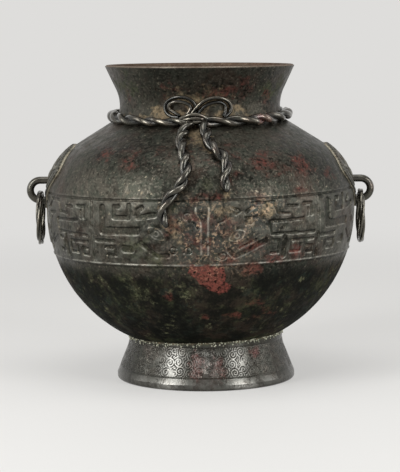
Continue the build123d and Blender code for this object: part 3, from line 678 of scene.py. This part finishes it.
lowAngles = np.concatenate([np.linspace(-72.6, -18.5, 56)[:-1], np.linspace(-18.5, 0, 84)])
lowRows = [(lowerCentre + skinForm["lowerCurve"] * math.cos(angle),
            skinForm["beltLow"] + skinForm["lowerCurve"] * math.sin(angle))
           for angle in np.radians(lowAngles)]
beltRows = [(bellyRadius, z) for z in np.linspace(skinForm["beltLow"], skinForm["beltTop"], 19)[1:]]
bendAngles = np.concatenate([np.linspace(0, 16, 36)[1:], np.linspace(16, 58, 44)[1:]])
bendRows = [(shoulderCentre + skinForm["shoulderCurve"] * math.cos(angle),
             skinForm["beltTop"] + skinForm["shoulderCurve"] * math.sin(angle))
            for angle in np.radians(bendAngles)]
slopeRows = [(r, slopeStart[1] + (slopeStart[0] - r) * math.tan(skinForm["shoulderSlope"]))
             for r in np.linspace(slopeStart[0], skinForm["mouthRadius"], 36)[1:]]
outer = np.array(lowRows + beltRows + bendRows + slopeRows)
slant = np.gradient(outer, axis=0)
slant /= np.linalg.norm(slant, axis=1)[:, None]
normal = np.stack([slant[:, 1], -slant[:, 0]], -1)
keep = np.linspace(len(outer) - 1, 0, 46).astype(int)
inner = (outer - normal * skinForm["wall"])[keep]
inner = inner[inner[:, 0] > 40]

turnRow = np.linspace(-math.pi, math.pi, bandForm["columns"], endpoint=False)
turnGrid, heightGrid = np.meshgrid(turnRow, outer[:, 1])
outerPoints = lathe(outer[:, :1], outer[:, 1:], turnRow[None])
roughGrain = grainField(outerPoints, 3.2, 6)
bandRows = np.abs(outer[:, 1] - bandForm["middle"]) < bandForm["half"] + 5
relief, sunk, wornAndLit, dark, noseLine = (np.zeros(turnGrid.shape) for part in range(5))
relief[bandRows], sunk[bandRows], wornAndLit[bandRows], dark[bandRows], noseLine[bandRows] = bandRelief(
    turnGrid[bandRows], heightGrid[bandRows], roughGrain[bandRows])
nearRope = np.full(turnGrid.shape, 99.0)
front = np.abs(turnGrid) < 0.7
for label in ("left_cord_tail", "right_cord_tail"):
    nearRope[front] = np.minimum(nearRope[front], pathDistance(outerPoints[front], ropePaths[label][::4]))
crustShare = np.clip(stainField(turnGrid, heightGrid, crustSpots), 0, 1)
uneven = grainField(outerPoints, 60, 3) * 0.3 + grainField(outerPoints, 14, 4) * 0.08 + roughGrain * 0.05
uneven += crustShare * np.maximum(grainField(outerPoints, 4.5, 5), -0.3) * 0.3
lift = relief * (1 - 0.3 * crustShare) + uneven
lift *= rise(heightGrid, 36, 44) * rise(198.5 - heightGrid, 0, 4)  # true where foot and neck join
outerGrid = lathe(outer[:, :1] + lift * normal[:, :1], outer[:, 1:] + lift * normal[:, 1:], turnRow[None])
innerGrid = lathe(inner[:, :1], inner[:, 1:], turnRow[None])

redGap = np.full(turnGrid.shape, 99.0)
redGap[front] = patchDistance(outerPoints[..., 0][front], heightGrid[front], redPatch)
redSolid = rise(-redGap - 1.3 * grainField(outerPoints, 5, 17), -0.6, 0.9)
ropeDust = np.exp(-np.maximum(nearRope - 3.0, 0) / 2.4)
bandMiddle = bandForm["middle"] + bandForm["lean"] * np.sin(turnGrid)
# below marks the lower belly: it is matt and mottled, and it takes painted shade because it faces down
below = rise(bandMiddle - bandForm["half"] - 1 - heightGrid, 0, 12)
inBand = np.abs(heightGrid - bandMiddle) < bandForm["half"]
middleBelow = stainField(turnGrid, heightGrid, [(4, 90, 22, 12, 0.5)])
bellyNotes = {
    # wear with painted highlights: lit channel edges, the ribbons, and the nose and eye lines
    "wearAndHighlight": np.clip(((wornAndLit + 0.1 * inBand * (1 - sunk)) * (1 - 0.5 * crustShare) + 0.55 * noseLine)
                    * rise(roughGrain, -0.8, 0.5), 0, 1),
    # painted shade: the channels' dark walls, and the lower belly, which faces down away from the lamps
    "deep": np.clip(np.maximum(dark * (1 - 0.35 * crustShare), below * (0.95 - middleBelow)), 0, 1),
    "red": np.maximum(stainField(turnGrid, heightGrid, redSpots), 1.15 * redSolid),
    "dust": np.clip(ropeDust * 0.8 + stainField(turnGrid, heightGrid, dustSpots) + 0.5 * noseLine, 0, 1),
    "green": stainField(turnGrid, heightGrid, greenSpots),
    "matt": np.clip(below + crustShare * 0.4, 0, 1),
    "crust": np.clip(crustShare * rise(grainField(outerPoints, 16, 15), -0.7, 0.4), 0, 1),
}
bossForm = {"radius": 52.5, "seat": 42.0, "opening": 38.0,
            "top": 37.0, "inside": 33.0, "ledge": 28.5, "under": 25.5}
footBox = [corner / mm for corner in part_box("foot")]
footCentre = (footBox[0].x + footBox[1].x) / 2
footRadius = (footBox[1].x - footBox[0].x) / 2
bossTurns = np.linspace(-math.pi, math.pi, 200, endpoint=False)[None]
bossRows = np.array([  # radius, height, centre
    (bossForm["radius"], bossForm["top"], footCentre), (bossForm["radius"], bossForm["under"], footCentre),
    (bossForm["seat"], bossForm["under"], 0.0), (bossForm["seat"], bossForm["ledge"], 0.0),
    (bossForm["opening"], bossForm["ledge"], 0.0), (bossForm["opening"], bossForm["inside"], 0.0)])
bossGrid = lathe(bossRows[:, :1], bossRows[:, 1:2], bossTurns, bossRows[:, 2:])
insideNotes = {"deep": 0.6, "matt": 0.6}  # painted shade: dark and dull inside the vessel
for label, values in bellyNotes.items():
    level = insideNotes.get(label, 0.0)
    skinValues = np.concatenate([values, np.full(innerGrid.shape[:2], level)])
    bellyNotes[label] = [skinValues, np.full(bossGrid.shape[:2], level)]
makePiece("belly_skin", [(np.concatenate([outerGrid, innerGrid]), True, True), (bossGrid, False, True)],
          "vessel", ["belly", "shoulder"], bodyBronze, bellyNotes)
print("belly and relief band sunk")


# Neck

neckForm = {
    "columns": 480, "lipRound": 0.9, "edgeBand": (1.1, 0.5), "mouthBand": 7.0,
    "red": [(30, 222, 14, 12, 0.75), (12, 220, 16, 9, 0.65), (-18, 222, 14, 10, 0.6),
            (52, 216, 12, 9, 0.65), (-58, 218, 12, 9, 0.55)],
    "dust": [(-31, 208, 6, 4, 0.8), (28, 209, 6, 4, 0.65), (-2, 212, 6, 6, 0.85), (0, 224, 40, 5, 0.4)],
    # painted highlights on the lip where the lamps glint, over some rubbed metal
    "rubbedAndLit": [(-22, 240, 16, 4, 0.6), (14, 240, 14, 4, 0.6), (120, 240, 20, 4, 0.4),
               (-130, 240, 20, 4, 0.4)],
    "green": [(0, 216, 26, 9, 0.7), (-60, 225, 30, 12, 0.6), (60, 224, 30, 12, 0.6)],
}
neckHeights = np.concatenate([np.linspace(rootHeight, throatHeight, 26)[:-1],
                              np.linspace(throatHeight, lipHeight - neckForm["lipRound"], 64)])
neckOuter = [(float(skinRadius(z)), z) for z in neckHeights]
lipTurns = np.linspace(0, math.pi, 14)
lipMiddle = skinForm["lipRadius"] - skinForm["lipWall"] / 2
neckLip = [(lipMiddle + skinForm["lipWall"] / 2 * math.cos(t),
            lipHeight - neckForm["lipRound"] + neckForm["lipRound"] * math.sin(t)) for t in lipTurns]
boreRadius = skinForm["throatRadius"] - skinForm["neckWall"]
spigotEnd = rootHeight - 3.5
neckInner = [(max(float(skinRadius(z)) - skinForm["neckWall"], boreRadius), z)
             for z in np.linspace(lipHeight - 5, throatHeight, 30)]
neckInner += [(boreRadius, spigotEnd), (skinForm["spigotRadius"], spigotEnd),
              (skinForm["spigotRadius"], rootHeight + 2.0)]
neckRows = np.array(neckOuter + neckLip + neckInner)
neckTurns = np.linspace(-math.pi, math.pi, neckForm["columns"], endpoint=False)
neckPoints = lathe(neckRows[:, :1], neckRows[:, 1:], neckTurns[None])
neckWave = grainField(neckPoints, 45, 8) * 0.25 + grainField(neckPoints, 9, 9) * 0.06
neckWave *= rise(neckRows[:, 1:], rootHeight + 1, rootHeight + 8)
neckPoints = lathe(neckRows[:, :1] + neckWave, neckRows[:, 1:], neckTurns[None])
neckTurnGrid, neckHeightGrid = np.meshgrid(neckTurns, neckRows[:, 1])
outside = (np.arange(len(neckRows)) < len(neckOuter))[:, None]
mouthSide = (np.arange(len(neckRows)) >= len(neckOuter) + 4)[:, None]
neckNear = np.full(neckTurnGrid.shape, 99.0)
neckFront = (np.abs(neckTurnGrid) < 0.7) & outside
for label in ("left_bow_loop", "right_bow_loop"):
    ropeGap = pathDistance(neckPoints[neckFront], ropePaths[label][::3])
    neckNear[neckFront] = np.minimum(neckNear[neckFront], ropeGap)
lipEdge = rise(neckHeightGrid, *(lipHeight - reach for reach in neckForm["edgeBand"]))
mouthGlow = rise(neckHeightGrid, lipHeight - neckForm["mouthBand"], lipHeight - 0.3)
# painted shade, deeper down inside the mouth
mouthShade = 0.7 * (1 - rise(neckHeightGrid, lipHeight - neckForm["mouthBand"], lipHeight - 1))
bowDust = 0.8 * np.exp(-np.maximum(neckNear - 2.4, 0) / 2.4)
bowDust += 0.3 * np.exp(-(neckHeightGrid - rootHeight - 6) / 4)  # and along the neck's root
# rubbed lip edge with painted highlights where the lamps glint
lipRubAndLit = 0.3 + stainField(neckTurnGrid, neckHeightGrid, neckForm["rubbedAndLit"])
neckNotes = {
    "copper": np.where(mouthSide, mouthGlow * 0.35, lipEdge * 0.45),
    "wearAndHighlight": (1 - mouthSide) * lipEdge * lipRubAndLit,
    "red": stainField(neckTurnGrid, neckHeightGrid, neckForm["red"]) * outside,
    "dust": np.clip(bowDust + stainField(neckTurnGrid, neckHeightGrid, neckForm["dust"]), 0, 1) * outside,
    "green": stainField(neckTurnGrid, neckHeightGrid, neckForm["green"]) * outside,
    # painted shade: the front of the neck darker than its lamp-lit sides, a little darker all round, and
    # darker down inside the mouth
    "deep": np.where(outside, 0.08 + 0.36 * np.exp(-(neckTurnGrid / 0.75) ** 4), mouthShade),
    "matt": np.where(outside, 0.0, 0.4) + 0 * neckTurnGrid,
}
makePiece("neck_skin", [(neckPoints, True, True)], "vessel", ["neck"], bodyBronze, neckNotes)
print("neck turned")


# Foot: flared ring with fine scrolls

footForm = {
    "spread": 9.4, "waistHeight": 33.0, "curve": 25.0, "flare": math.radians(19.5),
    "edge": 4.6, "round": 2.0, "wall": 4.5, "collarHeight": 24.0,
    "bandLow": 9.5, "bandHigh": 31.0, "bandRadius": 61, "scrolls": 24, "curlReach": 5.2, "pitch": 1.75,
    "cut": 0.3, "columns": 1600,
    "curls": [(-4.6, 7.4, 1), (2.9, 6.1, -1), (-3.2, 1.2, -1), (4.6, -0.4, 1),  # across, up, sense
              (-4.4, -5.6, 1), (2.2, -7.2, -1), (6.9, 8.2, 1), (-7.2, -8.6, -1)],
    "red": [(-7, 19, 9, 13, 0.8), (8, 16, 8, 12, 0.8), (38, 26, 8, 6, 0.75), (170, 20, 20, 10, 0.7)],
    # painted highlights: bright columns and rim spots where the side softboxes reflect, and a lighter
    # middle, over rubbed metal
    "rubbedAndLit": [(-24, 20, 10, 11, 0.4), (22, 20, 9, 11, 0.34), (0, 18, 12, 12, 0.22), (-27, 3, 9, 4, 0.3),
               (25, 3, 10, 4, 0.3)],
}
footWaist = footRadius - footForm["spread"]
footBend = (footWaist + footForm["curve"] * (1 - math.cos(footForm["flare"])),
            footForm["waistHeight"] - footForm["curve"] * math.sin(footForm["flare"]))


def footProfile(height):  # outside of the foot at a height
    bend = footWaist + footForm["curve"] - np.sqrt(np.maximum(
        footForm["curve"] ** 2 - np.minimum(height - footForm["waistHeight"], 0) ** 2, 1))
    steep = (footRadius - footBend[0]) / (footBend[1] - footForm["edge"])
    cone = footBend[0] + (footBend[1] - height) * steep
    low = np.where(height < footForm["round"], footForm["round"] - np.sqrt(np.maximum(
        footForm["round"] ** 2 - (footForm["round"] - height) ** 2, 0)), 0)
    return np.where(height > footBend[1], bend, np.where(height > footForm["edge"], cone, footRadius - low))


def scrollCut(turn, height):  # fine spiral lines in pairs, 0 to 1
    pitch = 360 / footForm["scrolls"]
    cell = (np.degrees(turn) + pitch / 2) % pitch - pitch / 2
    flip = np.where(np.floor((np.degrees(turn) + pitch / 2) / pitch) % 2 == 0, 1, -1)
    across = np.radians(cell) * footForm["bandRadius"] * flip
    up = (height - (footForm["bandLow"] + footForm["bandHigh"]) / 2) * flip
    lines, nearest = np.zeros(turn.shape), np.full(turn.shape, footForm["curlReach"])
    for x, y, sense in footForm["curls"]:  # each curl runs on until it meets the next one
        reach, angle = np.hypot(across - x, up - y), np.arctan2(up - y, across - x)
        spiral = np.abs((reach - sense * angle * footForm["pitch"] / (2 * math.pi)) % footForm["pitch"]
                        - footForm["pitch"] / 2)
        spiral = rise(spiral, footForm["pitch"] / 2 - 0.42, footForm["pitch"] / 2 - 0.1)
        lines = np.where(reach < nearest, spiral, lines)
        nearest = np.minimum(nearest, reach)
    aboveLow, belowHigh = height - footForm["bandLow"], footForm["bandHigh"] - height
    inside = rise(aboveLow, 0, 0.6) * rise(belowHigh, 0, 0.6)
    edges = np.exp(-(aboveLow / 0.45) ** 2) + np.exp(-(belowHigh / 0.45) ** 2)
    return np.clip(lines * inside + edges, 0, 1)


footTurns = np.linspace(-math.pi, math.pi, footForm["columns"], endpoint=False)
topReach = np.hypot(footCentre + footWaist * np.sin(footTurns), footWaist * np.cos(footTurns))
footTop = skinForm["beltLow"] - np.sqrt(skinForm["lowerCurve"] ** 2 - (topReach - lowerCentre) ** 2) + 0.5
share = np.concatenate([np.linspace(0, 0.12, 18)[:-1], np.linspace(0.12, 1, 120)])
footHeights = share[:, None] * footTop[None]
footTurnGrid = np.broadcast_to(footTurns, footHeights.shape)
cut = scrollCut(footTurnGrid, footHeights)
plainFoot = lathe(footProfile(footHeights), footHeights, footTurnGrid, footCentre)
kept = rise(grainField(plainFoot, 5, 33), -0.8, 0.0)
cut *= np.where(np.abs(footHeights - 20) < 10, kept, 1)  # the curls are worn away in places
# painted highlights where the softboxes reflect on the foot, with some rubbing
rubbedAndLit = stainField(footTurnGrid, footHeights, footForm["rubbedAndLit"], footRadius)
footRadii = footProfile(footHeights) - cut * footForm["cut"]
footGrid = lathe(footRadii, footHeights, footTurnGrid, footCentre)
footWave = grainField(footGrid, 30, 12) * 0.15 * rise(footHeights, 2, 6)
footGrid += footWave[..., None] * footGrid * (1, 1, 0) / 65
collarBore, footBore = bossForm["radius"] + 0.4, footRadius - footForm["wall"]
insideRows = np.array([(collarBore, 36.0), (collarBore, footForm["collarHeight"]),
                       (footBore - footForm["spread"], footForm["collarHeight"]),
                       (footBore, 0.3), (footBore + 0.4, 0.0)])
insideHeights = np.minimum(insideRows[:, 1:], footTop[None] - 1.0)
insideGrid = lathe(insideRows[:, :1], insideHeights, footTurns[None], footCentre)
none = np.zeros(insideGrid.shape[:2])
footNotes = {
    # painted shade: the foot darker away from the bright columns, its scroll lines dark only inside them,
    # and dark inside the foot
    "deep": np.concatenate([np.clip(0.24 - rubbedAndLit + cut * (0.1 + 2.2 * rubbedAndLit), 0, 1), none + 0.8]),
    # painted highlights and rubbed metal, and a rubbed rim all round
    "wearAndHighlight": np.concatenate([(1 - cut) * (rubbedAndLit + 0.12 * np.exp(-((footHeights - 4) / 4) ** 2)), none]),
    "red": np.concatenate([stainField(footTurnGrid, footHeights, footForm["red"], footRadius), none]),
    "green": np.concatenate([rise(footHeights, footTop - 4, footTop - 1) * 0.8, none + 0.1]),
    "dust": np.concatenate([rise(footHeights, footTop - 3.5, footTop) * 0.7, none]),
    "matt": np.concatenate([0 * cut, none + 0.6]),
}
makePiece("foot_ring", [(np.concatenate([footGrid, insideGrid]), True, True)],
          "vessel", ["foot"], footBronze, footNotes)

seamCrust = {"grains": 420, "small": 0.3, "large": 0.95, "fall": 3.0}
polar = np.linspace(0, math.pi, 6)[:, None]
around = np.linspace(0, 2 * math.pi, 8, endpoint=False)[None]
grainBall = np.stack([np.sin(polar) * np.cos(around), np.sin(polar) * np.sin(around),
                      np.cos(polar) + 0 * around], -1)
grains = []
for number in range(seamCrust["grains"]):
    turn = chance.uniform(-math.pi, math.pi)
    size = chance.uniform(seamCrust["small"], seamCrust["large"]) * chance.uniform(0.7, 1, 3)
    level = np.interp(turn, footTurns, footTop) - 0.4 - seamCrust["fall"] * chance.uniform() ** 2
    place = lathe(footWaist + 0.1, level, turn, footCentre)
    grains.append((place + grainBall * size, False, True))
makePiece("seam_crust", grains, "vessel", [], crustFinish)
print("foot and scrolls cut")


# Rings: twisted, loose in their loops

for side in ("left", "right"):
    low, high = (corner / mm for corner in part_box(side + "_ring"))
    middle = (low + high) / 2
    wire = (high.x - low.x) / 2
    bend = (high.y - low.y) / 2 - wire
    around = np.linspace(0, 2 * math.pi, 320, endpoint=False)
    ringPath = np.stack([np.full(320, middle.x), middle.y + bend * np.cos(around),
                         middle.z + bend * np.sin(around)], -1)
    form = dict(ropeForm["ring"], outward=ringPath - np.array(middle))
    grids, crests = strands(ringPath, form, closed=True, count=3)
    makePiece(side + "_ring_twist", grids, side + "_handle", [side + "_ring"], ringBronze,
              ropeNotes(grids, crests, ropeWearAndShade["ring"]))
print("rings twisted")


# Masks: carved plates over the skin at both sides

maskForm = {
    "outline": [(0, 31.2), (14, 34.2), (35, 18.2), (24, 4.2), (9, -3.8), (0, -13.8)],  # across, up
    "core": (0.0, 12.0), "columns": 420, "rows": 70, "plate": 1.5, "rim": 0.8, "rimWidth": 2.4, "bead": 3.0,
    "side": (1.4, 0.6, -1.2),  # rows from the front edge down into the skin
    "ridges": [  # route, half width, height
        ([(3.5, 20.5), (12, 22.5), (22, 18.5), (29, 20)], 1.6, 1.0),
        ([(5, 27), (13, 29.6), (20, 26.6), (17.5, 24.6)], 1.4, 0.9),
        ([(7.5, 6.5), (14, 4.6), (21, 8.6), (28, 14)], 1.4, 0.8),
        ([(0, 27), (0, 6)], 2.2, 0.9),
        ([(0, 6), (0, -10)], 3.4, 0.5),
        ([(27, 23), (31.4, 17)], 1.3, 0.6),
        ([(5.6, -1), (7.4, -5), (4, -7)], 1.0, 0.5)],
    "eyes": (11.5, 14.0, 4.6, 1.5),
}


def maskOutline(count):  # smooth closed line through the plate's corners
    right = maskForm["outline"]
    ring = np.array(right + [(-x, y) for x, y in reversed(right[1:-1])], float)
    steps = np.linspace(0, len(ring), count, endpoint=False)
    start = steps.astype(int)
    part = (steps - start)[:, None]
    before, first, second, after = (ring[(start + shift) % len(ring)] for shift in (-1, 0, 1, 2))
    bend = (2 * before - 5 * first + 4 * second - after) * part ** 2
    sway = (3 * first - before - 3 * second + after) * part ** 3
    return 0.5 * (2 * first + (second - before) * part + bend + sway)


outline = maskOutline(maskForm["columns"])
core = np.array(maskForm["core"])
maskShare = np.linspace(0.004, 1, maskForm["rows"])[:, None]
maskAcross = core[0] + maskShare * (outline[:, 0] - core[0])[None]
maskUp = core[1] + maskShare * (outline[:, 1] - core[1])[None]
toEdge = (1 - maskShare) * np.linalg.norm(outline - core, axis=1)[None] * 0.8
perimeter = np.concatenate([[0], np.cumsum(np.linalg.norm(np.diff(outline, axis=0), axis=1))])
beads = 0.5 + 0.5 * np.cos(2 * math.pi * perimeter / maskForm["bead"])[None]
carving = maskForm["rim"] * rise(maskForm["rimWidth"] - toEdge, 0, 0.6) * (0.75 + 0.25 * beads)
for route, half, height in maskForm["ridges"]:
    gap = barDistance(np.abs(maskAcross), maskUp, route, half)
    carving = np.maximum(carving, height * rise(-gap, -0.5, 0.7))
eyeAcross, eyeUp, eyeReach, eyeHeight = maskForm["eyes"]
eyeAway = np.hypot(np.abs(maskAcross) - eyeAcross, maskUp - eyeUp)
eyeBall = eyeHeight * np.sqrt(np.clip(1 - (eyeAway / eyeReach) ** 2, 0, 1))
carving = np.maximum(carving, eyeBall - 0.9 * rise(1.6 - eyeAway, 0, 0.5))  # with a drilled pupil
carving = np.maximum(carving, 0.6 * np.exp(-((eyeAway - 6.0) / 0.6) ** 2))
loopZone = rise(12 - np.abs(maskAcross), 0, 3) * rise(maskUp, -12, -8) * rise(9 - maskUp, 0, 3)
carving *= 1 - 0.6 * loopZone
for side, sign in (("left", -1), ("right", 1)):
    low, high = (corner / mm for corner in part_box(side + "_staple"))
    level = (low.z + high.z) / 2 + maskUp
    thick = maskForm["plate"] + carving
    rows = [thick] + [np.full((1, maskForm["columns"]), reach) for reach in maskForm["side"]]
    levels = [level] + [level[-1:]] * 3
    acrosses = [maskAcross] + [maskAcross[-1:]] * 3
    points = np.concatenate([np.stack([sign * np.sqrt(skinRadius(z, grow) ** 2 - y ** 2), sign * y, z], -1)
                             for grow, z, y in zip(rows, levels, acrosses)])
    none = np.zeros((1, maskForm["columns"]))
    crest = np.concatenate([carving, carving[-1:], none + 0.4, none])
    edge = np.concatenate([0 * carving, none, none + 1, none + 1])
    edge *= rise(grainField(points, 12, 31), -1.7, -0.3)
    notch = rise(0.55 - beads, 0, 0.2)
    # painted shadows in the gaps between the rim's beads
    beadShadows = np.concatenate([np.exp(-((toEdge - 0.6) / 0.6) ** 2) * notch, notch, none, none])
    maskNotes = {
        "wearAndHighlight": np.maximum(rise(crest, 0.5, 1.1) * 0.2, edge * 0.6), "dust": edge * 1.1,
        # painted shade in the carving's low places
        "deep": np.maximum(rise(0.35 - crest, 0, 0.35) * 0.3 * (1 - edge), beadShadows),
        "green": rise(0.3 - crest, 0, 0.3) * 0.12 * (1 - edge)}
    makePiece(side + "_mask_carving", [(points, False, True)], "vessel", [side + "_mask"],
              maskBronze, maskNotes)
print("masks carved")


# Plain pieces keep their solids and take a finish

plainFinishes = {"floor_plate": bodyBronze, "left_staple": ringBronze, "right_staple": ringBronze}
for label, finish in plainFinishes.items():
    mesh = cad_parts[label].data
    mesh.materials.clear()
    mesh.materials.append(finish)


# Studio

studio = {
    "eye": (0.0006, -1.495, 0.271), "lens": 149.3, "sensor": 36.0, "dip": 6.2, "roll": 0.4,
    "floor": (226, 225, 222), "floorRough": 0.6, "backdrop": (222, 221, 219), "fill": 0.25,
    "even": 0.55, "fadeStart": 0.3, "fadeEnd": 1.15, "floorHalf": 9.0,  # the floor melts into the backdrop
    "aim": (0, 0, 0.12), "softboxes": [  # place, width, height, watts
        ((-0.98, -0.97, 0.72), 0.45, 1.0, 20.0),
        ((0.92, -0.90, 0.5), 0.36, 0.9, 11.0),
        ((0.0, -0.3, 1.5), 1.0, 0.7, 8.0),
        ((-1.2, 0.0, 0.4), 0.3, 1.0, 3.6),
        ((1.2, 0.0, 0.4), 0.3, 1.0, 4.5)],
}
scene = bpy.context.scene
camera = bpy.data.objects.new("camera", bpy.data.cameras.new("camera"))
scene.collection.objects.link(camera)
camera.data.lens = studio["lens"]
camera.data.sensor_width = studio["sensor"]
camera.location = studio["eye"]
camera.rotation_euler = (math.radians(90 - studio["dip"]), math.radians(studio["roll"]), 0)
scene.camera = camera

for number, (place, wide, tall, watts) in enumerate(studio["softboxes"]):
    lamp = bpy.data.lights.new(f"softbox{number}", "AREA")
    lamp.shape, lamp.size, lamp.size_y, lamp.energy = "RECTANGLE", wide, tall, watts
    holder = bpy.data.objects.new(f"softbox{number}", lamp)
    holder.location = place
    holder.rotation_euler = (Vector(studio["aim"]) - Vector(place)).to_track_quat("-Z", "Y").to_euler()
    scene.collection.objects.link(holder)


def seenDirectly(tree):  # 1 for what the lens, a mirror or glass sees, 0 for light on other surfaces
    rays = tree.nodes.new("ShaderNodeLightPath")
    seen = rays.outputs["Is Camera Ray"]
    for kind in ("Is Glossy Ray", "Is Transmission Ray"):
        either = tree.nodes.new("ShaderNodeMath")
        either.operation = "MAXIMUM"
        tree.links.new(seen, either.inputs[0])
        tree.links.new(rays.outputs[kind], either.inputs[1])
        seen = either.outputs[0]
    level = tree.nodes.new("ShaderNodeMapRange")
    tree.links.new(seen, level.inputs["Value"])
    return level


world = bpy.data.worlds.new("studioRoom")
scene.world = world
world.use_nodes = True
sky = world.node_tree.nodes["Background"]
sky.inputs["Color"].default_value = tone(*studio["backdrop"])
skyLevel = seenDirectly(world.node_tree)
skyLevel.inputs["To Min"].default_value = studio["fill"]
world.node_tree.links.new(skyLevel.outputs["Result"], sky.inputs["Strength"])

half = studio["floorHalf"]
floorMesh = bpy.data.meshes.new("studioFloor")
floorCorners = [(-half, -half, 0), (half, -half, 0), (half, half, 0), (-half, half, 0)]
floorMesh.from_pydata(floorCorners, [], [(0, 1, 2, 3)])
floor = bpy.data.objects.new("studioFloor", floorMesh)
scene.collection.objects.link(floor)
floorFinish = bpy.data.materials.new("paleFloor")
floorFinish.use_nodes = True
tree = floorFinish.node_tree
floorSkin = tree.nodes["Principled BSDF"]
floorSkin.inputs["Base Color"].default_value = tone(*studio["floor"])
floorSkin.inputs["Roughness"].default_value = studio["floorRough"]
floorGlow = tree.nodes.new("ShaderNodeEmission")
floorGlow.inputs["Color"].default_value = tone(*studio["backdrop"])
floorMix = tree.nodes.new("ShaderNodeMixShader")
floorPlace = tree.nodes.new("ShaderNodeTexCoord")
floorAway = tree.nodes.new("ShaderNodeVectorMath")
floorAway.operation = "LENGTH"
tree.links.new(floorPlace.outputs["Object"], floorAway.inputs[0])
floorFade = tree.nodes.new("ShaderNodeMapRange")
floorFade.interpolation_type = "SMOOTHSTEP"
for label, value in (("From Min", "fadeStart"), ("From Max", "fadeEnd"), ("To Min", "even")):
    floorFade.inputs[label].default_value = studio[value]
tree.links.new(floorAway.outputs["Value"], floorFade.inputs["Value"])
floorLevel = seenDirectly(tree)
tree.links.new(floorFade.outputs["Result"], floorLevel.inputs["To Max"])
tree.links.new(floorLevel.outputs["Result"], floorMix.inputs[0])
tree.links.new(floorSkin.outputs[0], floorMix.inputs[1])
tree.links.new(floorGlow.outputs[0], floorMix.inputs[2])
tree.links.new(floorMix.outputs[0], tree.nodes["Material Output"].inputs["Surface"])
floorMesh.materials.append(floorFinish)

scene.view_settings.view_transform = "Standard"
print("studio set")
